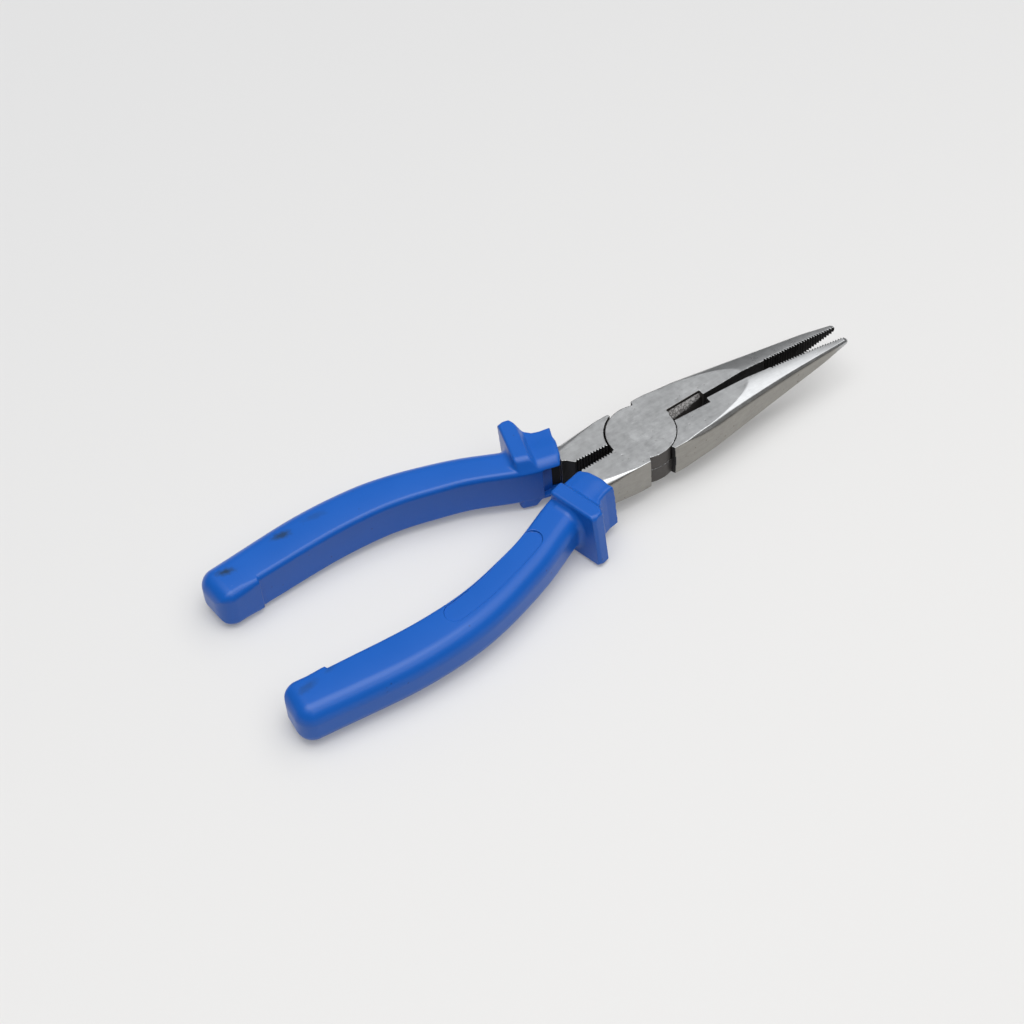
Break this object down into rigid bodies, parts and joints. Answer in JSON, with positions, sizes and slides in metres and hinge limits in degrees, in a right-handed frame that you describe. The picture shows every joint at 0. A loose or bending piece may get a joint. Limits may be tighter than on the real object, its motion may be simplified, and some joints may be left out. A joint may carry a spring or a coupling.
{
  "type": "needle nose pliers",
  "caption": "Long needle nose pliers with serrated tapering jaws, a side cutter behind them, a lap joint with a flush rivet, and bowed blue slip-on grips with guards.",
  "frame": {"origin": "on the pivot axis, on the flat underside of the head", "axes": "+X along the tool from the pivot to the jaw tips, midway between the jaws; +Z along the pivot axis, out of the head's top face; +Y towards the jaw that belongs to the upper half"},
  "size_m": [0.197, 0.0646, 0.019],
  "materials": {
    "ground_steel": "satin ground forging with a clear oil film, darker inside the jaws and the notches",
    "rivet_steel": "satin, ground flush with the head",
    "blue_vinyl": "semi-gloss dipped or moulded vinyl"
  },
  "bodies": {
    "lower_body": {"lower_half": "ground_steel", "pivot_rivet": "rivet_steel", "far_grip": "blue_vinyl"},
    "upper_body": {"upper_half": "ground_steel", "near_grip": "blue_vinyl"}
  },
  "joints": [
    {"name": "pivot", "type": "hinge", "parent": "lower_body", "child": "upper_body", "pos_m": [0, 0, 0.00545], "axis": [0, 0, 1], "range_deg": [-3.1, 40]}
  ]
}
